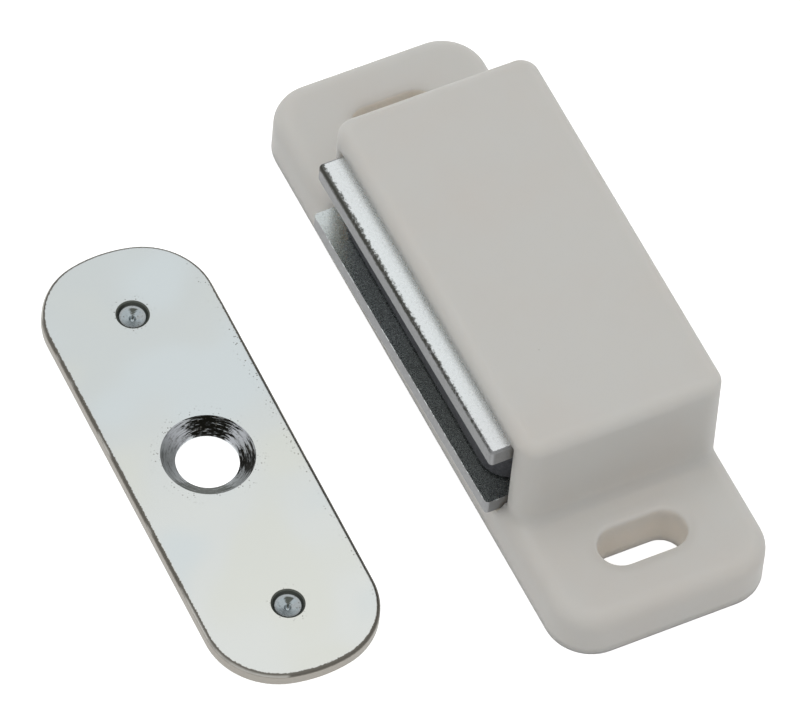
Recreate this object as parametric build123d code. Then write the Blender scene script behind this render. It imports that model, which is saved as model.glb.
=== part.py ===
"""Magnetic cabinet catch: a nylon housing, a floating magnet pack and its strike plate.

Millimetres. The origin is the centre of the housing's mounting face. +X runs along the
housing, -Y is the pulling side where the pole plates stand out, and +Z leaves the panel
that the housing is screwed to.
"""
import os
from math import radians, sin
from build123d import *

# Ferrite magnet between the plates
magnet_length = 30.2
magnet_thickness = 5.36
magnet_corner_radius = 2.8
magnet_edge_chamfer = 0.25
magnet_face_gap = 0.02

# Pole plates, blanked from sheet
plate_overhang = 1.0
plate_depth = 16.6
plate_thickness = 1.75
plate_corner_radius = 0.35
plate_rolled_edge = 0.3
plate_front_reach = 1.15
magnet_setback = 1.5
magnet_rear_inset = 0.5

# Pocket and the float of the pack in it
pocket_end_clearance = 0.3
sill_end_clearance = 0.22
pocket_face_clearance = 0.1
pocket_rear_clearance = 0.2
pocket_lead_in = 0.3
pocket_shift = -0.3
pack_travel = 0.6
rock_limit = 1.0
pack_shift = -0.05
lower_plate_skew = 0.8
upper_plate_skew = 0.7

# Guide ribs on the pocket's end walls, level with the magnet
rib_height = 0.5
rib_rise = 1.6
magnet_end_clearance = 0.7

# Walls round the pocket
end_wall = 2.3
rear_wall = 3.07
roof_wall = 2.0
floor_wall = 1.7

# Block that holds the magnet pack
block_front_setback = 0.75
block_corner_radius = 1.8
block_edge_radius = 1.1
block_draft = 0.6
block_shift = -0.1
foot_radius = 0.8

# Base and ears
ear_reach = 11.3
base_height = 4.6
base_corner_radius = 4.0
base_edge_radius = 1.5

# Screw slots through the ears, long across the housing
slot_offset = 4.8
slot_length = 8.0
slot_width = 3.9
slot_edge_radius = 0.25

# Cored underside of the block
core_depth = 1.9
core_wall = 2.2
core_rib = 2.4
core_count = 4
core_corner_radius = 1.0

# Strike plate
strike_length = 45.3
strike_width = 15.15
strike_thickness = 1.2
strike_end_radius = 12.0
strike_end_flat = 2.5
strike_rolled_edge = 0.45
strike_hole = 5.4
strike_hole_shift = -0.33
strike_countersink = 8.0
strike_countersink_depth = 0.95
strike_x = 0.28
strike_gap = 11.07
strike_turn = -1.0

# Punched dimples: shares of radius and depth from the lip to the middle, and the point below
dimple_spacing = 31.5
dimple_diameter = 2.9
dimple_depth = 0.85
dimple_steps = ((1.0, 0.0), (0.9, 0.09), (0.77, 0.4), (0.68, 0.46), (0.22, 0.74), (0.1, 1.0))
point_diameter = 2.2
point_height = 0.4

# Lengths, from the magnet outwards
plate_length = magnet_length + 2 * plate_overhang
pocket_length = plate_length + 2 * pocket_end_clearance
block_length = pocket_length + 2 * end_wall
base_length = block_length + 2 * ear_reach
slot_spacing = block_length + 2 * slot_offset
pack_x = pocket_shift + pack_shift

# Depths, from the front of the plates to the back of the block
rock_swing = plate_length / 2 * sin(radians(rock_limit))
rear_play = pack_travel + rock_swing + pocket_rear_clearance
base_width = plate_depth - plate_front_reach + rear_play + rear_wall
front_y = -base_width / 2
block_front_y = front_y + block_front_setback
block_rear_y = base_width / 2
block_width = block_rear_y - block_front_y
block_centre_y = (block_rear_y + block_front_y) / 2
plate_front_y = front_y - plate_front_reach
plate_centre_y = plate_front_y + plate_depth / 2
magnet_depth = plate_depth - magnet_setback - magnet_rear_inset
magnet_centre_y = plate_front_y + magnet_setback + magnet_depth / 2
pocket_rear_y = plate_front_y + plate_depth + rear_play

# Heights, from the cores up to the top of the block
pocket_floor_z = core_depth + floor_wall
lower_plate_z = pocket_floor_z + pocket_face_clearance
magnet_base_z = lower_plate_z + plate_thickness + magnet_face_gap
upper_plate_z = magnet_base_z + magnet_thickness + magnet_face_gap
pocket_roof_z = upper_plate_z + plate_thickness + pocket_face_clearance
pocket_height = pocket_roof_z - pocket_floor_z
block_height = pocket_roof_z + roof_wall
strike_y = front_y - strike_gap - strike_width / 2


def top_edges(shape: Part) -> ShapeList:
    """Edges round the highest face."""
    return shape.faces().sort_by(Axis.Z)[-1].edges()


def edges_on(shape: Part, height: float, x_limits: tuple[float, float]) -> ShapeList:
    """Edges that lie at one height, between two distances from the middle of the length."""
    low, high = x_limits
    return ShapeList(
        edge
        for edge in shape.edges()
        if abs(edge.bounding_box().min.Z - height) < 0.01
        and abs(edge.bounding_box().max.Z - height) < 0.01
        and low < abs(edge.center().X) < high
    )


def ear_slots() -> Part:
    """Cutter for the two screw slots."""
    outline = Sketch() + [
        Pos(side * slot_spacing / 2, 0) * SlotOverall(slot_length, slot_width, rotation=90)
        for side in (-1, 1)
    ]
    return extrude(Pos(0, 0, -1) * outline, base_height + 2)


def base_body() -> Part:
    """Flat base with rounded ears."""
    outline = RectangleRounded(base_length, base_width, base_corner_radius)
    body = extrude(outline, base_height)
    return fillet(top_edges(body), base_edge_radius)


def block_body() -> Part:
    """Drafted block with rounded corners and soft top edges."""
    outline = RectangleRounded(block_length, block_width, block_corner_radius)
    foot = Pos(block_shift, block_centre_y) * outline
    body = extrude(foot, block_height, taper=block_draft)
    return fillet(top_edges(body), block_edge_radius)


def pack_pocket() -> Part:
    """Cutter for the pocket, open to the front, with guide ribs left on its end walls."""
    depth = pocket_rear_y - (front_y - 1)
    centre_y = (pocket_rear_y + front_y - 1) / 2
    seat_length = plate_length + 2 * sill_end_clearance
    upright = (Align.CENTER, Align.CENTER, Align.MIN)
    seat = Box(seat_length, depth, pocket_height, align=upright)
    upper = Box(pocket_length, depth, pocket_roof_z - base_height, align=upright)
    pocket = Pos(pack_x, centre_y, pocket_floor_z) * seat + Pos(pocket_shift, centre_y, base_height) * upper
    rib_reach = (pocket_length - magnet_length) / 2 - magnet_end_clearance
    rib_z = magnet_base_z + rib_rise
    rib_depth = pocket_rear_y - block_front_y - 2 * pocket_lead_in
    for side in (-1, 1):
        rib = Box(rib_reach, rib_depth, rib_height, align=(Align.CENTER, Align.MAX, Align.MIN))
        rib_x = pocket_shift + side * (pocket_length - rib_reach) / 2
        pocket -= Pos(rib_x, pocket_rear_y, rib_z) * rib
    return pocket + pocket_lead()


def pocket_lead() -> Part:
    """Cutter for the bevels that lead into the pocket at both jambs."""
    inner = pocket_length / 2
    outer = inner + 2 * pocket_lead_in
    inner_y = block_front_y + pocket_lead_in
    outer_y = block_front_y - pocket_lead_in
    outline = Polygon((-inner, inner_y), (-outer, outer_y), (outer, outer_y), (inner, inner_y), align=None)
    return extrude(Pos(pocket_shift, 0, base_height) * outline, pocket_roof_z - base_height)


def underside_cores() -> Part:
    """Cutter for the shallow cores that keep the floor below the pack at an even wall."""
    length = block_length - 2 * core_wall
    width = block_width - 2 * core_wall
    pitch = (length + core_rib) / core_count
    outline = Sketch() + [
        Pos(block_shift + (index - (core_count - 1) / 2) * pitch, block_centre_y)
        * RectangleRounded(pitch - core_rib, width, core_corner_radius)
        for index in range(core_count)
    ]
    return extrude(outline, core_depth)


def housing() -> Part:
    """The nylon moulding."""
    body = base_body() + block_body()
    foot_band = (block_length / 2 - block_corner_radius, block_length / 2 + abs(block_shift))
    body = fillet(edges_on(body, base_height, foot_band).filter_by(Axis.Y), foot_radius)
    body -= ear_slots()
    slot_band = (slot_spacing / 2 - slot_width, slot_spacing / 2 + slot_width)
    body = fillet(edges_on(body, base_height, slot_band), slot_edge_radius)
    body -= pack_pocket()
    return body - underside_cores()


def pole_plate(base_z: float, skew: float, rolled_side: int) -> Part:
    """One blanked plate, rolled on its upper (-1) or lower (0) face and sharp on the other."""
    blank = extrude(RectangleRounded(plate_length, plate_depth, plate_corner_radius), plate_thickness)
    rolled_face = blank.faces().sort_by(Axis.Z)[rolled_side]
    blank = fillet(rolled_face.edges(), plate_rolled_edge)
    return Pos(pack_x, plate_centre_y, base_z) * Rot(0, 0, skew) * blank


def magnet() -> Part:
    """Sintered ferrite block with rounded corners and broken edges."""
    block = extrude(RectangleRounded(magnet_length, magnet_depth, magnet_corner_radius), magnet_thickness)
    caps = block.faces().sort_by(Axis.Z)[-1].edges() + block.faces().sort_by(Axis.Z)[0].edges()
    block = chamfer(caps, magnet_edge_chamfer)
    return Pos(pack_x, magnet_centre_y, magnet_base_z) * block


def strike_outline() -> Sketch:
    """Straight sides with arched ends that run into them round soft corners."""
    half_width = strike_width / 2
    arch = strike_end_radius - (strike_end_radius**2 - half_width**2) ** 0.5
    side = strike_length / 2 - arch
    edges = [
        Line((-side, half_width), (side, half_width)),
        ThreePointArc((side, half_width), (strike_length / 2, 0), (side, -half_width)),
        Line((side, -half_width), (-side, -half_width)),
        ThreePointArc((-side, -half_width), (-strike_length / 2, 0), (-side, half_width)),
    ]
    outline = make_face(edges)
    return fillet(outline.vertices(), half_width - strike_end_flat / 2)


def dimple_punch() -> Part:
    """Cutter for one dimple: a soft lip, a ledge and a bowl with a pricked middle."""
    radius = dimple_diameter / 2
    points = [(0, strike_thickness + 1), (radius, strike_thickness + 1)]
    points += [(radius * share, strike_thickness - dimple_depth * deep) for share, deep in dimple_steps]
    points += [(0, strike_thickness - dimple_depth)]
    profile = Plane.XZ * make_face(Polyline(*points, close=True))
    return revolve(profile, Axis.Z)


def strike_plate() -> Part:
    """Counter plate with arched ends, a countersunk hole and two punched dimples."""
    blank = extrude(strike_outline(), strike_thickness)
    blank = fillet(top_edges(blank), strike_rolled_edge)
    sink = Cone(strike_hole / 2, strike_countersink / 2, strike_countersink_depth)
    blank -= Pos(strike_hole_shift, 0) * Cylinder(strike_hole / 2, 4 * strike_thickness)
    blank -= Pos(strike_hole_shift, 0, strike_thickness - strike_countersink_depth / 2) * sink
    for side in (-1, 1):
        place = Pos(side * dimple_spacing / 2, 0)
        point = Cone(point_diameter / 6, point_diameter / 2, point_height)
        blank += place * Pos(0, 0, -point_height / 2) * point
        blank -= place * dimple_punch()
    return Pos(strike_x, strike_y, point_height) * Rot(0, 0, strike_turn) * blank


nodes = {
    "housing": housing(),
    "lower_pole_plate": pole_plate(lower_plate_z, lower_plate_skew, 0),
    "magnet": magnet(),
    "upper_pole_plate": pole_plate(upper_plate_z, upper_plate_skew, -1),
    "strike_plate": strike_plate(),
}

os.makedirs("parts", exist_ok=True)
for name, shape in nodes.items():
    export_step(shape, f"parts/{name}.step")
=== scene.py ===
import logging
import math
from dataclasses import dataclass
from enum import Enum
from typing import NamedTuple

import bpy
from mathutils import Matrix, Vector

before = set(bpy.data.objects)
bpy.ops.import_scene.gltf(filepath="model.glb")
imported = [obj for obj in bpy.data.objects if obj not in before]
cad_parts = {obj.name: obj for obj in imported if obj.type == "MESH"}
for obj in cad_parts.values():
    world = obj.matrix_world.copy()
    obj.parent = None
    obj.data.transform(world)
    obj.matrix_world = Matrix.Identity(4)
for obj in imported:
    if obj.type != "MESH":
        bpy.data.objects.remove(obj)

LOG = logging.getLogger("magnetic_catch")
MM = 0.001
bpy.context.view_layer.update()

# A height that no edge reaches, for a mark that a plate doesn't carry.
NOWHERE_MM = 99.0

Rgba = tuple[float, float, float, float]
WHITE: Rgba = (1.0, 1.0, 1.0, 1.0)

Node = bpy.types.Node
# What an input takes: a socket, a node that stands for its first output in use, or a plain value.
Source = Node | bpy.types.NodeSocket | float | tuple[float, ...]


def linear(hex_code: str) -> Rgba:
    """Turn an sRGB hex value into linear colour.

    Args:
        hex_code: Six hex digits, such as "c9c7c1".

    Returns:
        Linear red, green, blue and full alpha.
    """
    toe, toe_slope, offset, power = 0.04045, 12.92, 0.055, 2.4
    channels = [int(hex_code[i:i + 2], 16) / 255 for i in (0, 2, 4)]
    values = [c / toe_slope if c <= toe else ((c + offset) / (1 + offset)) ** power for c in channels]
    return (values[0], values[1], values[2], 1.0)


def per_metre(size_mm: float) -> float:
    """Texture scale for a pattern whose features are size_mm across."""
    return 1.0 / (size_mm * MM)


class Kind(Enum):
    """The nodes in use: a type each, with the settings that pick its work."""

    ADD = ("Math", {"operation": "ADD"})
    SUBTRACT = ("Math", {"operation": "SUBTRACT"})
    MULTIPLY = ("Math", {"operation": "MULTIPLY"})
    MAXIMUM = ("Math", {"operation": "MAXIMUM"})
    ABSOLUTE = ("Math", {"operation": "ABSOLUTE"})
    DOT = ("VectorMath", {"operation": "DOT_PRODUCT"})
    SCALE = ("VectorMath", {"operation": "SCALE"})
    LENGTH = ("VectorMath", {"operation": "LENGTH"})
    DIRECTION = ("VectorMath", {"operation": "NORMALIZE"})
    MOVE = ("Mapping", {"vector_type": "POINT"})
    SPLIT = ("SeparateXYZ", {})
    JOIN = ("CombineXYZ", {})
    EASE = ("MapRange", {"interpolation_type": "SMOOTHSTEP"})
    BLEND = ("Mix", {"data_type": "RGBA"})
    NOISE = ("TexNoise", {})
    CELLS = ("TexVoronoi", {})
    COORDINATES = ("TexCoord", {})
    OPENNESS = ("AmbientOcclusion", {"samples": 6})
    EASED_EDGE = ("Bevel", {"samples": 6})
    RELIEF = ("Bump", {})
    SURFACE = ("BsdfPrincipled", {})
    MATERIAL = ("OutputMaterial", {})
    MATT = ("BsdfDiffuse", {})
    GLOW = ("Emission", {})
    BOTH = ("AddShader", {})
    EITHER = ("MixShader", {})
    RAYS = ("LightPath", {})
    ROOM_LIGHT = ("Background", {})
    ROOM = ("OutputWorld", {})


class Band(NamedTuple):
    """Where a value changes, and what it changes from and to."""

    low: float
    high: float
    at_low: float = 0.0
    at_high: float = 1.0


class Grain(NamedTuple):
    """Noise of a real size, with the number and strength of its finer layers."""

    size_mm: float
    detail: float = 2.0
    roughness: float = 0.5

    def at(self, place: Source) -> dict[str, Source]:
        """Name the inputs that draw it over some coordinates in metres."""
        scale = per_metre(self.size_mm)
        return {"Vector": place, "Scale": scale, "Detail": self.detail, "Roughness": self.roughness}


class NodeSheet:
    """A node tree with one way to add a node."""

    def __init__(self, tree: bpy.types.NodeTree) -> None:
        """Start an empty sheet.

        Args:
            tree: The tree to fill, which is cleared first.
        """
        self.tree = tree
        tree.nodes.clear()

    def add(self, kind: Kind, *in_order: Source, **by_name: Source) -> Node:
        """Add a node with its settings, and set or link its inputs.

        Args:
            kind: What the node does.
            *in_order: Values for the inputs in use, from the first. A socket is linked, and a
                node stands for its first output in use.
            **by_name: The same by the input's name, with "_" for a space.

        Returns:
            The new node.
        """
        type_name, settings = kind.value
        node = self.tree.nodes.new("ShaderNode" + type_name)
        for key, value in settings.items():
            setattr(node, key, value)
        values = list(zip([socket for socket in node.inputs if socket.enabled], in_order))
        values += [(node.inputs[key.replace("_", " ")], value) for key, value in by_name.items()]
        for socket, value in values:
            if isinstance(value, Node):
                value = next(output for output in value.outputs if output.enabled)
            if isinstance(value, bpy.types.NodeSocket):
                self.tree.links.new(value, socket)
            else:
                socket.default_value = value
        return node


@dataclass(frozen=True)
class Finish:
    """What every finish states: its name and the tree that draws it."""

    name: str

    def material(self) -> bpy.types.Material:
        """Make the Blender material.

        Returns:
            The material with its tree.
        """
        made = bpy.data.materials.new(self.name)
        made.use_nodes = True
        self.draw(NodeSheet(made.node_tree))
        return made

    def draw(self, sheet: NodeSheet) -> None:
        """Fill the material's empty tree."""
        raise NotImplementedError


@dataclass(frozen=True)
class MouldedNylon(Finish):
    """Natural white nylon, injection moulded in a fine satin tool.

    Light passes well into it, so edges look soft. Deep slots and creases are lightened to a
    warm pale colour instead of going dark: a painted glow that stands in for the light the
    nylon scatters into them. Cooling leaves a faint mottle, and a stray dark grain shows here
    and there. A satin tool's peel is finer than 0.1 mm, and is drawn 0.35 mm coarse so that it
    shows.
    """

    body: str = "c3c2be"
    warm: str = "c3c0bb"
    painted_glow: str = "ebe4da"
    speck: str = "8d8a84"
    mottle: Grain = Grain(9.0)
    mottle_band: Band = Band(0.35, 0.75)
    painted_glow_reach_mm: float = 9.0
    painted_glow_band: Band = Band(0.15, 0.5, 1.0, 0.0)
    speck_mm: float = 5.0
    speck_band: Band = Band(0.018, 0.03, 0.8, 0.0)
    edge_mm: float = 1.6
    peel: Grain = Grain(0.35, 3.0)
    peel_strength: float = 0.12
    peel_height_mm: float = 0.02
    roughness: float = 0.5
    ior: float = 1.53
    specular: float = 0.3
    scatter: float = 0.85
    scatter_radius: tuple[float, float, float] = (1.0, 0.94, 0.86)
    scatter_mm: float = 1.4

    def draw(self, sheet: NodeSheet) -> None:
        """Fill the material's tree.

        Args:
            sheet: The empty tree.
        """
        place = sheet.add(Kind.COORDINATES).outputs["Object"]
        mottle = sheet.add(Kind.EASE, sheet.add(Kind.NOISE, **self.mottle.at(place)), *self.mottle_band)
        tone = sheet.add(Kind.BLEND, mottle, linear(self.body), linear(self.warm))
        # Painted glow: the less open a point is, the more its colour goes to a warm pale tone, for the
        # light that the nylon scatters into slots and creases.
        openness = sheet.add(Kind.OPENNESS, Distance=self.painted_glow_reach_mm * MM).outputs["AO"]
        glow = sheet.add(Kind.EASE, openness, *self.painted_glow_band)
        tone = sheet.add(Kind.BLEND, glow, tone, linear(self.painted_glow))
        cells = sheet.add(Kind.CELLS, Vector=place, Scale=per_metre(self.speck_mm))
        specks = sheet.add(Kind.EASE, cells, *self.speck_band)
        relief = sheet.add(
            Kind.RELIEF,
            Height=sheet.add(Kind.NOISE, **self.peel.at(place)),
            Strength=self.peel_strength,
            Distance=self.peel_height_mm * MM,
            Normal=sheet.add(Kind.EASED_EDGE, Radius=self.edge_mm * MM),
        )
        surface = sheet.add(
            Kind.SURFACE,
            Base_Color=sheet.add(Kind.BLEND, specks, tone, linear(self.speck)),
            Roughness=self.roughness,
            IOR=self.ior,
            Specular_IOR_Level=self.specular,
            Subsurface_Weight=self.scatter,
            Subsurface_Radius=self.scatter_radius,
            Subsurface_Scale=self.scatter_mm * MM,
            Normal=relief,
        )
        sheet.add(Kind.MATERIAL, Surface=surface)


class Spot(NamedTuple):
    """What a plate's finish reads at a point: where it is, how level, and if on a flat face."""

    place: Source
    level: Source
    ragged_level: Source
    on_face: Source


@dataclass(frozen=True)
class ZincPlate(Finish):
    """Bright zinc plate on blanked steel sheet.

    The flat faces mirror softly and carry a fine sparkle of grains. The edge that the die
    rolled can carry a dark band, a painted reflection of the dark surroundings it faces, and
    the sheared wall is a duller grey. Bright broken specks along the top of that wall are a
    painted highlight on its burr. The plating's crystals are finer than a pixel, and are
    drawn 0.2 mm coarse so that they sparkle.
    """

    face: str = "dfe4e5"
    tint: str = "dcdfe0"
    roll: str = "44443e"
    wall: str = "8f9091"
    burr_highlight: str = "dde2e3"
    clouds: Grain = Grain(16.0)
    cloud_band: Band = Band(0.4, 0.65)
    sparkle: Grain = Grain(0.2, 4.0, 0.65)
    sparkle_band: Band = Band(0.56, 0.74, 0.0, 0.35)
    ragged_band: Band = Band(0.3, 0.7, -0.035, 0.035)
    face_band: Band = Band(0.91, 0.962)
    face_roughness: float = 0.22
    edge_roughness: float = 0.42
    blur_band: Band = Band(0.3, 0.7, 0.0, 0.16)
    relief: float = 0.25
    relief_mm: float = 0.01
    # Painted reflection: the ragged dark band along the rolled front edge, set by this top height, the
    # band's width and its widening.
    edge_reflection_top_mm: float = NOWHERE_MM
    edge_reflection_mm: float = 0.3
    edge_reflection_slope: float = 0.0085
    edge_reflection_border_mm: float = 0.15
    edge_reflection_share: float = 0.92
    fray: Grain = Grain(0.3, 4.0, 0.7)
    fray_band: Band = Band(0.3, 0.7, -0.16 * MM, 0.16 * MM)
    front_mm: float = -10.95
    front_slope: float = 0.0122
    # Painted highlight on the burr: bright broken specks on the sheared wall above this height.
    burr_highlight_from_mm: float = NOWHERE_MM
    burr_highlight_border_mm: float = 0.05
    burr_highlight_breaks: Grain = Grain(0.45, 3.0)
    burr_highlight_band: Band = Band(0.5, 0.58)

    def draw(self, sheet: NodeSheet) -> None:
        """Fill the material's tree.

        Args:
            sheet: The empty tree.
        """
        coords = sheet.add(Kind.COORDINATES)
        place = coords.outputs["Object"]
        facing = sheet.add(Kind.SPLIT, coords.outputs["Normal"])
        level = sheet.add(Kind.ABSOLUTE, facing.outputs["Z"])
        sparkle = sheet.add(Kind.NOISE, **self.sparkle.at(place))
        ragged = sheet.add(Kind.ADD, level, sheet.add(Kind.EASE, sparkle, *self.ragged_band))
        on_face = sheet.add(Kind.EASE, ragged, *self.face_band)
        spot = Spot(place, level, ragged, on_face)
        face = sheet.add(Kind.BLEND, self.drift(sheet, spot), linear(self.face), linear(self.tint))
        glitter = sheet.add(Kind.EASE, sparkle, *self.sparkle_band)
        face = sheet.add(Kind.BLEND, glitter, face, linear(self.wall))
        # Painted highlight: the sheared wall turns bright in broken specks near its top, where the burr
        # catches the light.
        edge = sheet.add(Kind.BLEND, self.painted_burr_highlight(sheet, spot), linear(self.wall), linear(self.burr_highlight))
        colour = sheet.add(Kind.BLEND, on_face, edge, face)
        # Painted reflection: the rolled edge goes dark towards the roll colour where it mirrors the
        # dark surroundings.
        colour = sheet.add(Kind.BLEND, self.painted_edge_reflection(sheet, spot), colour, linear(self.roll))
        blur = sheet.add(Kind.EASE, sparkle, *self.blur_band)
        gloss = sheet.add(Kind.EASE, on_face, 0.0, 1.0, self.edge_roughness, self.face_roughness)
        relief = sheet.add(
            Kind.RELIEF, Height=sparkle, Strength=self.relief, Distance=self.relief_mm * MM
        )
        surface = sheet.add(
            Kind.SURFACE,
            Base_Color=self.marked(sheet, spot, colour),
            Metallic=1.0,
            Roughness=sheet.add(Kind.ADD, blur, gloss),
            Normal=relief,
        )
        sheet.add(Kind.MATERIAL, Surface=surface)

    def drift(self, sheet: NodeSheet, spot: Spot) -> Node:
        """Say how far, from 0 to 1, the plating has gone from its face colour to its tint."""
        clouds = sheet.add(Kind.NOISE, **self.clouds.at(spot.place))
        return sheet.add(Kind.EASE, clouds, *self.cloud_band)

    def painted_edge_reflection(self, sheet: NodeSheet, spot: Spot) -> Node:
        """Say where the edge that slides and strikes carries a painted dark reflection: a ragged
        band along the front.

        The plate stands a little askew, and the band widens towards the far end.

        Args:
            sheet: The tree to add to.
            spot: What is read at each point.

        Returns:
            A share from 0 to 1.
        """
        where = sheet.add(Kind.SPLIT, spot.place)
        askew = sheet.add(Kind.MULTIPLY, where.outputs["X"], -self.front_slope)
        behind = sheet.add(Kind.ADD, where.outputs["Y"], askew)
        behind = sheet.add(Kind.ADD, behind, -self.front_mm * MM)
        below = sheet.add(Kind.SUBTRACT, self.edge_reflection_top_mm * MM, where.outputs["Z"])
        widening = sheet.add(Kind.MULTIPLY, where.outputs["X"], self.edge_reflection_slope)
        away = sheet.add(Kind.ADD, sheet.add(Kind.ADD, behind, below), widening)
        fray = sheet.add(Kind.EASE, sheet.add(Kind.NOISE, **self.fray.at(spot.place)), *self.fray_band)
        inner = (self.edge_reflection_mm - self.edge_reflection_border_mm) * MM
        outer = (self.edge_reflection_mm + self.edge_reflection_border_mm) * MM
        return sheet.add(
            Kind.EASE, sheet.add(Kind.ADD, away, fray), inner, outer, self.edge_reflection_share, 0.0
        )

    def painted_burr_highlight(self, sheet: NodeSheet, spot: Spot) -> Node:
        """Say where the sheared edge's burr carries a bright, broken painted highlight.

        Args:
            sheet: The tree to add to.
            spot: What is read at each point.

        Returns:
            A share from 0 to 1.
        """
        height = sheet.add(Kind.SPLIT, spot.place).outputs["Z"]
        start = self.burr_highlight_from_mm * MM
        reached = sheet.add(Kind.EASE, height, start, start + self.burr_highlight_border_mm * MM)
        breaks = sheet.add(Kind.NOISE, **self.burr_highlight_breaks.at(spot.place))
        return sheet.add(Kind.MULTIPLY, reached, sheet.add(Kind.EASE, breaks, *self.burr_highlight_band))

    def marked(self, sheet: NodeSheet, spot: Spot, colour: Source) -> Source:
        """Add the marks of later work to the colour so far: a plain plate has none."""
        return colour


@dataclass(frozen=True)
class ZincStrike(ZincPlate):
    """The same plating on the strike, with a turned countersink and pits.

    The cutter leaves rings about 0.1 mm apart in the cone, which catch the light in fans;
    these fans, and the shade and gleam in the two pressed points, are painted reflections.
    Dark pits gather where the plating is strained: along one long edge, round the hole and
    round the two pressed points. The finest can't show, and they are drawn 0.3 mm apart.
    """

    face: str = "cad0d0"
    tint: str = "dcdfdc"
    straw: str = "d9dacd"
    blue: str = "cfd8db"
    roll: str = "6e6b64"
    wall: str = "9a968f"
    glint: str = "bdbbb5"
    # Painted reflections: the cone's olive, light and dark fans, and the pressed points' gleam, lip,
    # shade and dark ring, are drawn in these colours.
    cone_grey: str = "b6babc"
    cone_olive_reflection: str = "5c615b"
    cone_dark_reflection: str = "161612"
    cone_light_reflection: str = "bcbfc4"
    bowl: str = "a7b1b5"
    bowl_ring: str = "555954"
    bowl_lip_highlight: str = "a9afb1"

    cloud_band: Band = Band(0.3, 0.7, -3.0 * MM, 3.0 * MM)
    sparkle_band: Band = Band(0.56, 0.74, 0.0, 0.03)
    face_roughness: float = 0.2
    blur_band: Band = Band(0.3, 0.7, 0.0, 0.06)
    relief: float = 0.04
    # Painted reflection: the dark band on the strike's roll, all round.
    edge_reflection_band: Band = Band(0.2, 0.4)
    half_length_mm: float = 22.6

    hue: Grain = Grain(11.0, 1.0)
    hue_level_band: Band = Band(0.97, 0.99)
    straw_band: Band = Band(0.5, 0.65, 0.0, 0.35)
    blue_band: Band = Band(0.35, 0.5, 0.6, 0.0)

    hole_mm: tuple[float, float] = (-0.05, -28.44)
    rim_band: Band = Band(4.05, 4.1, 1.0, 0.0)
    cone_slope_band: Band = Band(0.9, 0.96, 1.0, 0.0)
    ring_arc: float = 2.0
    ring_step: float = 6.0
    ring_scale: float = 1.8
    ring_detail: float = 6.0
    ring_roughness: float = 0.65
    fan_fray_band: Band = Band(0.3, 0.7, -0.09, 0.09)
    fan_band: Band = Band(0.88, 0.97)
    streak_band: Band = Band(0.46, 0.62, 0.0, 0.6)
    olive_fans_deg: tuple[float, float] = (318.0, 345.0)
    light_fans_deg: tuple[float, ...] = (108.0, 205.0)
    dark_fans_deg: tuple[float, ...] = (62.0, 140.0, 163.0)

    points_mm: tuple[tuple[float, float], ...] = ((16.03, -28.72), (-15.47, -28.17))
    bowl_shade_deg: float = 150.0
    bowl_gleam_deg: float = 75.0
    lip_band: Band = Band(0.9, 0.98)
    ring_band: Band = Band(1.08, 1.16)
    point_band: Band = Band(1.38, 1.48, 1.0, 0.0)

    shoulder_from_band: Band = Band(0.25, 0.5)
    shoulder_to_band: Band = Band(0.6, 0.85, 1.0, 0.0)
    glint_patches: Grain = Grain(6.0)
    glint_band: Band = Band(0.52, 0.6)

    middle_y_mm: float = -28.45
    border_band: Band = Band(6.18 * MM, 7.18 * MM)
    hole_pits_band: Band = Band(4.2, 5.3, 0.7, 0.0)
    point_pits_band: Band = Band(1.5, 2.2, 0.8, 0.0)
    pit_mm: float = 0.3
    pit_band: Band = Band(0.15, 0.32, 0.75, 0.0)
    pit_patches: Grain = Grain(1.2)
    pit_patch_band: Band = Band(0.42, 0.55)

    def drift(self, sheet: NodeSheet, spot: Spot) -> Node:
        """Say where the plating is brighter, a painted sheen: towards one end, with faint clouds in it.

        Args:
            sheet: The tree to add to.
            spot: What is read at each point.

        Returns:
            A share from 0 to 1.
        """
        along = sheet.add(Kind.SPLIT, spot.place).outputs["X"]
        clouds = sheet.add(Kind.NOISE, **self.clouds.at(spot.place))
        reach = self.half_length_mm * MM
        clouded = sheet.add(Kind.ADD, along, sheet.add(Kind.EASE, clouds, *self.cloud_band))
        return sheet.add(Kind.EASE, clouded, -reach, reach)

    def painted_edge_reflection(self, sheet: NodeSheet, spot: Spot) -> Node:
        """Say where the edge carries a painted dark reflection, from 0 to 1: on the roll, all round."""
        off_face = sheet.add(Kind.SUBTRACT, 1.0, spot.on_face)
        return sheet.add(
            Kind.MULTIPLY, sheet.add(Kind.EASE, spot.ragged_level, *self.edge_reflection_band), off_face
        )

    def polar(
        self, sheet: NodeSheet, place: Source, centre_mm: tuple[float, float]
    ) -> tuple[Node, Node]:
        """Measure from a centre on the plate.

        Args:
            sheet: The tree to add to.
            place: Coordinates in metres.
            centre_mm: The centre.

        Returns:
            The direction from the centre, and the distance in millimetres.
        """
        offset = (-centre_mm[0] * MM, -centre_mm[1] * MM, 0.0)
        moved = sheet.add(Kind.MOVE, Vector=place, Location=offset, Scale=(1, 1, 0))
        in_mm = sheet.add(Kind.SCALE, moved, 1 / MM)
        return sheet.add(Kind.DIRECTION, in_mm), sheet.add(Kind.LENGTH, in_mm)

    def fan(self, sheet: NodeSheet, direction: Source, angle_deg: float, fray: Source) -> Node:
        """Draw one wedge of painted reflection or shade in a turned or pressed hollow.

        Args:
            sheet: The tree to add to.
            direction: The direction from the hollow's centre.
            angle_deg: Where the wedge points.
            fray: A small value that frays its borders.

        Returns:
            A share from 0 to 1.
        """
        angle = math.radians(angle_deg)
        facing = sheet.add(Kind.DOT, direction, (math.cos(angle), math.sin(angle), 0.0))
        return sheet.add(Kind.EASE, sheet.add(Kind.ADD, facing, fray), *self.fan_band)

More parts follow.
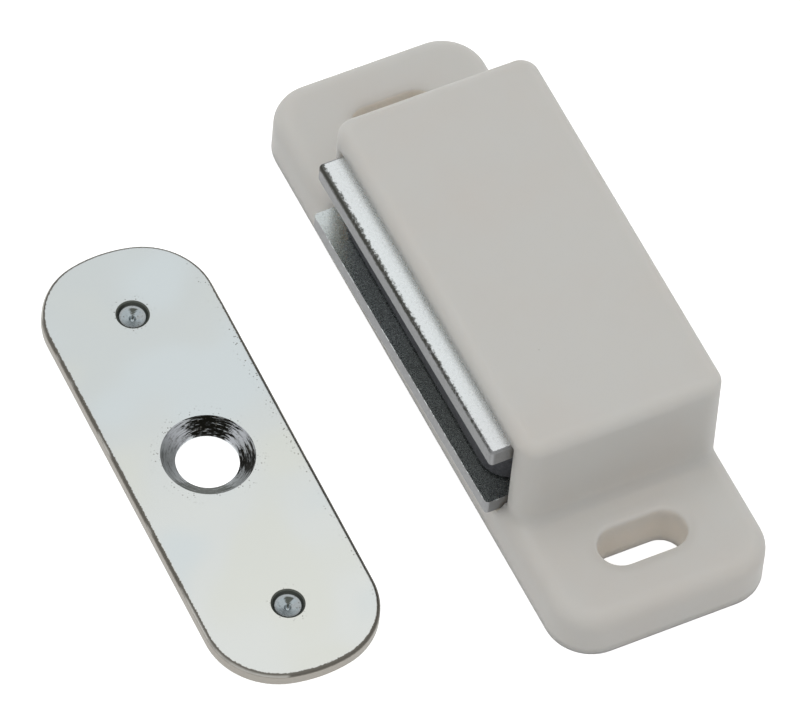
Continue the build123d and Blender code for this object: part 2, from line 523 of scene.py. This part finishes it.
    def rings(self, sheet: NodeSheet, direction: Source, distance: Source) -> Node:
        """Draw the cutter's rings: noise that is long round the hole and short outwards.

        Args:
            sheet: The tree to add to.
            direction: The direction from the hole's centre.
            distance: The distance from it, in millimetres.

        Returns:
            The rings' depth.
        """
        turn = sheet.add(Kind.SPLIT, direction)
        wound = sheet.add(
            Kind.JOIN,
            sheet.add(Kind.MULTIPLY, turn.outputs["X"], self.ring_arc),
            sheet.add(Kind.MULTIPLY, turn.outputs["Y"], self.ring_arc),
            sheet.add(Kind.MULTIPLY, distance, self.ring_step),
        )
        return sheet.add(
            Kind.NOISE,
            Vector=wound,
            Scale=self.ring_scale,
            Detail=self.ring_detail,
            Roughness=self.ring_roughness,
        )

    def hued(self, sheet: NodeSheet, spot: Spot, colour: Source) -> Node:
        """Add the passivated plating's faint straw and blue to the level face.

        Args:
            sheet: The tree to add to.
            spot: What is read at each point.
            colour: The colour so far.

        Returns:
            The colour with its hues.
        """
        hue = sheet.add(Kind.NOISE, **self.hue.at(spot.place))
        level = sheet.add(Kind.EASE, spot.level, *self.hue_level_band)
        for band, tint in ((self.straw_band, self.straw), (self.blue_band, self.blue)):
            share = sheet.add(Kind.MULTIPLY, level, sheet.add(Kind.EASE, hue, *band))
            colour = sheet.add(Kind.BLEND, share, colour, linear(tint))
        return colour

    def cone(self, sheet: NodeSheet, direction: Source, rings: Source, fray: Source) -> Node:
        """Colour the turned cone: grey, with painted reflections in olive, light and dark fans, and
        the cutter's streaks.

        Args:
            sheet: The tree to add to.
            direction: The direction from the hole's centre.
            rings: The cutter's rings.
            fray: A small value that frays the fans.

        Returns:
            The cone's colour.
        """
        first, second = (self.fan(sheet, direction, angle, fray) for angle in self.olive_fans_deg)
        olive = sheet.add(Kind.MAXIMUM, first, second)
        colour = sheet.add(Kind.BLEND, olive, linear(self.cone_grey), linear(self.cone_olive_reflection))
        for angle in self.light_fans_deg:
            fan = self.fan(sheet, direction, angle, fray)
            colour = sheet.add(Kind.BLEND, fan, colour, linear(self.cone_light_reflection))
        streaks = sheet.add(Kind.EASE, rings, *self.streak_band)
        colour = sheet.add(Kind.BLEND, streaks, colour, linear(self.bowl_ring))
        for angle in self.dark_fans_deg:
            fan = self.fan(sheet, direction, angle, fray)
            colour = sheet.add(Kind.BLEND, fan, colour, linear(self.cone_dark_reflection))
        return colour

    def hollow(self, sheet: NodeSheet, outward: Source, away: Source, fray: Source) -> Node:
        """Colour a pressed point with painted shade and reflections: a shaded bowl with a gleam,
        its bright lip and the dark ring round it.

        Args:
            sheet: The tree to add to.
            outward: The direction from the point's centre.
            away: The distance from it, in millimetres.
            fray: A small value that frays the shades.

        Returns:
            The point's colour.
        """
        shade = self.fan(sheet, outward, self.bowl_shade_deg, fray)
        gleam = self.fan(sheet, outward, self.bowl_gleam_deg, fray)
        lip = sheet.add(Kind.EASE, away, *self.lip_band)
        ring = sheet.add(Kind.EASE, away, *self.ring_band)
        colour = sheet.add(Kind.BLEND, shade, linear(self.bowl), linear(self.bowl_ring))
        colour = sheet.add(Kind.BLEND, gleam, colour, linear(self.bowl_lip_highlight))
        colour = sheet.add(Kind.BLEND, lip, colour, linear(self.bowl_lip_highlight))
        return sheet.add(Kind.BLEND, ring, colour, linear(self.bowl_ring))

    def glinting(self, sheet: NodeSheet, spot: Spot, colour: Source) -> Node:
        """Add the glint that breaks along the edge's rolled shoulder.

        Args:
            sheet: The tree to add to.
            spot: What is read at each point.
            colour: The colour so far.

        Returns:
            The colour with its glint.
        """
        start = sheet.add(Kind.EASE, spot.level, *self.shoulder_from_band)
        end = sheet.add(Kind.EASE, spot.level, *self.shoulder_to_band)
        patches = sheet.add(Kind.NOISE, **self.glint_patches.at(spot.place))
        patches = sheet.add(Kind.EASE, patches, *self.glint_band)
        share = sheet.add(Kind.MULTIPLY, sheet.add(Kind.MULTIPLY, start, end), patches)
        return sheet.add(Kind.BLEND, share, colour, linear(self.glint))

    def pitted(self, sheet: NodeSheet, spot: Spot, colour: Source, worked: Source) -> Node:
        """Add patches of dark pits along one long edge and round the worked hollows.

        Args:
            sheet: The tree to add to.
            spot: What is read at each point.
            colour: The colour so far.
            worked: How near a hollow is.

        Returns:
            The colour with its pits.
        """
        where = sheet.add(Kind.SPLIT, spot.place)
        across = sheet.add(Kind.ADD, where.outputs["Y"], -self.middle_y_mm * MM)
        border = sheet.add(Kind.EASE, across, *self.border_band)
        cells = sheet.add(Kind.CELLS, Vector=spot.place, Scale=per_metre(self.pit_mm))
        pits = sheet.add(Kind.EASE, cells, *self.pit_band)
        patches = sheet.add(Kind.NOISE, **self.pit_patches.at(spot.place))
        pits = sheet.add(Kind.MULTIPLY, pits, sheet.add(Kind.EASE, patches, *self.pit_patch_band))
        share = sheet.add(Kind.MULTIPLY, pits, sheet.add(Kind.MAXIMUM, border, worked))
        return sheet.add(Kind.BLEND, share, colour, linear(self.roll))

    def marked(self, sheet: NodeSheet, spot: Spot, colour: Source) -> Node:
        """Add the faint hues, the turned cone and the pressed points with their painted
        reflections, the painted glint and the pits.

        Args:
            sheet: The tree to add to.
            spot: What is read at each point.
            colour: The colour so far.

        Returns:
            The colour with its marks.
        """
        colour = self.hued(sheet, spot, colour)
        direction, distance = self.polar(sheet, spot.place, self.hole_mm)
        rings = self.rings(sheet, direction, distance)
        fray = sheet.add(Kind.EASE, rings, *self.fan_fray_band)
        cone = self.cone(sheet, direction, rings, fray)
        sloped = sheet.add(Kind.EASE, spot.level, *self.cone_slope_band)
        in_cone = sheet.add(Kind.MULTIPLY, sheet.add(Kind.EASE, distance, *self.rim_band), sloped)
        colour = sheet.add(Kind.BLEND, in_cone, colour, cone)
        worked = sheet.add(Kind.EASE, distance, *self.hole_pits_band)
        for centre in self.points_mm:
            outward, away = self.polar(sheet, spot.place, centre)
            hollow = self.hollow(sheet, outward, away, fray)
            in_point = sheet.add(Kind.EASE, away, *self.point_band)
            colour = sheet.add(Kind.BLEND, in_point, colour, hollow)
            around = sheet.add(Kind.EASE, away, *self.point_pits_band)
            worked = sheet.add(Kind.MAXIMUM, worked, around)
        return self.pitted(sheet, spot, self.glinting(sheet, spot, colour), worked)


@dataclass(frozen=True)
class SinteredFerrite(Finish):
    """Hard ferrite, pressed and sintered, with ground faces: near black with pale grit.

    Its real grains are a few hundredths of a millimetre across, and are drawn ten times
    coarser so that they show.
    """

    body: str = "494a4f"
    dark: str = "333438"
    grit: str = "808385"
    grain: Grain = Grain(0.3, 4.0, 0.7)
    grain_band: Band = Band(0.3, 0.7)
    grit_mm: float = 0.4
    grit_band: Band = Band(0.05, 0.14, 0.6, 0.0)
    relief: float = 0.15
    relief_mm: float = 0.03
    roughness: float = 0.65
    ior: float = 1.4

    def draw(self, sheet: NodeSheet) -> None:
        """Fill the material's tree.

        Args:
            sheet: The empty tree.
        """
        place = sheet.add(Kind.COORDINATES).outputs["Object"]
        grain = sheet.add(Kind.NOISE, **self.grain.at(place))
        tone = sheet.add(
            Kind.BLEND,
            sheet.add(Kind.EASE, grain, *self.grain_band),
            linear(self.dark),
            linear(self.body),
        )
        cells = sheet.add(Kind.CELLS, Vector=place, Scale=per_metre(self.grit_mm))
        grit = sheet.add(Kind.EASE, cells, *self.grit_band)
        surface = sheet.add(
            Kind.SURFACE,
            Base_Color=sheet.add(Kind.BLEND, grit, tone, linear(self.grit)),
            Roughness=self.roughness,
            IOR=self.ior,
            Normal=sheet.add(
                Kind.RELIEF, Height=grain, Strength=self.relief, Distance=self.relief_mm * MM
            ),
        )
        sheet.add(Kind.MATERIAL, Surface=surface)


@dataclass
class CatchBody:
    """The moulded housing."""

    finish: Finish = MouldedNylon("moulded_nylon")

    def dress(self) -> None:
        """Give the housing its finish."""
        paint("housing", self.finish)


@dataclass
class MagnetPack:
    """The magnet and its two pole plates.

    The upper plate's front edge carries a painted dark reflection. The lower plate lies in the
    housing's shade, painted as darker face colours for what it mirrors there. It is smoother,
    and keeps its burr, drawn with a painted highlight.
    """

    # Painted reflection: a dark band along the upper plate's rolled front edge, from its top at 12.6
    # mm.
    upper_finish: Finish = ZincPlate("zinc_upper_plate", edge_reflection_top_mm=12.6)
    # Painted shade: the lower plate's face and tint are darker than the upper plate's, for the shade
    # and the housing it mirrors; its burr gets a painted highlight above 5.3 mm.
    lower_finish: Finish = ZincPlate(
        "zinc_lower_plate",
        face="c9d0d0",
        tint="bec4c0",
        face_roughness=0.18,
        relief=0.1,
        burr_highlight_from_mm=5.3,
    )
    magnet_finish: Finish = SinteredFerrite("sintered_ferrite")

    def dress(self) -> None:
        """Give the plates and the magnet their finishes."""
        paint("upper_pole_plate", self.upper_finish)
        paint("lower_pole_plate", self.lower_finish)
        paint("magnet", self.magnet_finish)


@dataclass
class CounterPlate:
    """The strike plate that the door carries."""

    finish: Finish = ZincStrike("zinc_strike")

    def dress(self) -> None:
        """Give the strike plate its finish."""
        paint("strike_plate", self.finish)


def paint(node: str, finish: Finish) -> None:
    """Put one finish on a CAD node's slots.

    Args:
        node: The node's name.
        finish: What it is made of.
    """
    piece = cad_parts[node]
    made = finish.material()
    for slot in piece.material_slots:
        slot.material = made
    LOG.info("%s: %s", node, made.name)


@dataclass
class Camera:
    """The photograph's view, worked out from the outlines in it.

    Angles are in degrees. Distances are in metres from the frame's origin.
    """

    azimuth: float = 59.51
    elevation: float = 54.77
    roll: float = 5.77
    distance: float = 0.92308
    shift_right: float = 0.009448
    shift_down: float = -0.00158
    focal_px: float = 11000.0
    image_width_px: float = 800.0
    sensor_mm: float = 36.0
    clip_start: float = 0.01
    clip_end: float = 20.0

    def place(self) -> None:
        """Create the camera and make it the scene's."""
        az, el, roll = (math.radians(v) for v in (self.azimuth, self.elevation, self.roll))
        right = Vector((math.cos(az), math.sin(az), 0))
        ahead = Vector((-math.sin(az) * math.cos(el), math.cos(az) * math.cos(el), -math.sin(el)))
        down = ahead.cross(right)
        spot = -(right * self.shift_right + down * self.shift_down + ahead * self.distance)
        across = right * math.cos(roll) - down * math.sin(roll)
        below = right * math.sin(roll) + down * math.cos(roll)
        data = bpy.data.cameras.new("camera")
        data.sensor_width = self.sensor_mm
        data.lens = self.focal_px * self.sensor_mm / self.image_width_px
        data.clip_start = self.clip_start
        data.clip_end = self.clip_end
        camera = bpy.data.objects.new("camera", data)
        camera.matrix_world = Matrix((across, -below, -ahead)).transposed().to_4x4()
        camera.location = spot
        bpy.context.scene.collection.objects.link(camera)
        bpy.context.scene.camera = camera


@dataclass
class Studio:
    """Floor, room and one soft box. Sizes are in metres, and the key's power in watts.

    The lamp and the fill add up to a plain level, at which a colour renders about as written.
    """

    floor_size: float = 6.0
    floor_drop_mm: float = 0.02
    floor_grey: str = "dadada"
    floor_glow: float = 0.68
    fill: float = 0.71
    flag_level: float = 0.26
    flag_top: float = 0.18
    sky_from: float = 0.55
    key_direction: tuple[float, float, float] = (0.02, -0.09, 1.0)
    key_distance: float = 0.6
    key_size: float = 0.55
    key_power: float = 1.2

    def build(self) -> None:
        """Make the floor, the room and the lamp."""
        self.floor()
        self.room()
        self.lamp()

    def shown(self, sheet: NodeSheet, path: Node) -> Node:
        """Tell camera, glossy and transmission rays, at 1, from rays that only light, at 0."""
        seen = sheet.add(Kind.MAXIMUM, path.outputs["Is Camera Ray"], path.outputs["Is Glossy Ray"])
        return sheet.add(Kind.MAXIMUM, seen, path.outputs["Is Transmission Ray"])

    def floor(self) -> None:
        """Lay a pale floor that shows white and keeps a soft shadow."""
        drop = self.floor_drop_mm * MM
        bpy.ops.mesh.primitive_plane_add(size=self.floor_size, location=(0, 0, -drop))
        plane = bpy.context.object
        plane.name = "floor"
        made = bpy.data.materials.new("studio_floor")
        made.use_nodes = True
        sheet = NodeSheet(made.node_tree)
        strength = sheet.add(Kind.MULTIPLY, self.shown(sheet, sheet.add(Kind.RAYS)), self.floor_glow)
        matt = sheet.add(Kind.MATT, Color=linear(self.floor_grey))
        glow = sheet.add(Kind.GLOW, Color=WHITE, Strength=strength)
        sheet.add(Kind.MATERIAL, Surface=sheet.add(Kind.BOTH, matt, glow))
        plane.data.materials.append(made)

    def room(self) -> None:
        """Make the room: white to the camera, and an even fill for the light.

        Metal shows it white overhead and grey from the horizon up to sky_from, where flags
        stand round the table.
        """
        world = bpy.data.worlds.new("studio")
        bpy.context.scene.world = world
        world.use_nodes = True
        sheet = NodeSheet(world.node_tree)
        path = sheet.add(Kind.RAYS)
        height = sheet.add(Kind.SPLIT, sheet.add(Kind.COORDINATES).outputs["Generated"]).outputs["Z"]
        flags = sheet.add(Kind.EASE, height, self.flag_top, self.sky_from, self.flag_level, 1.0)
        level = sheet.add(Kind.MAXIMUM, flags, path.outputs["Is Camera Ray"])
        fill = sheet.add(Kind.ROOM_LIGHT, Color=WHITE, Strength=self.fill)
        show = sheet.add(Kind.ROOM_LIGHT, Color=WHITE, Strength=level)
        sheet.add(Kind.ROOM, Surface=sheet.add(Kind.EITHER, self.shown(sheet, path), fill, show))

    def lamp(self) -> None:
        """Hang one large soft box overhead.

        It is hidden from glossy rays: metal already mirrors the room's white there, and the
        soft box on top of it would draw a white line along every rolled edge.
        """
        data = bpy.data.lights.new("soft_box", "AREA")
        data.shape = "DISK"
        data.size = self.key_size
        data.energy = self.key_power
        lamp = bpy.data.objects.new("soft_box", data)
        towards = Vector(self.key_direction).normalized()
        lamp.visible_glossy = False
        lamp.location = towards * self.key_distance
        lamp.rotation_euler = towards.to_track_quat("Z", "Y").to_euler()
        bpy.context.scene.collection.objects.link(lamp)


def main() -> None:
    """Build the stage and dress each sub-assembly."""
    logging.basicConfig(level=logging.INFO, format="%(name)s %(message)s")
    bpy.context.scene.view_settings.view_transform = "Standard"
    Camera().place()
    Studio().build()
    for sub_assembly in (CatchBody(), MagnetPack(), CounterPlate()):
        sub_assembly.dress()


if __name__ == "__main__":
    main()
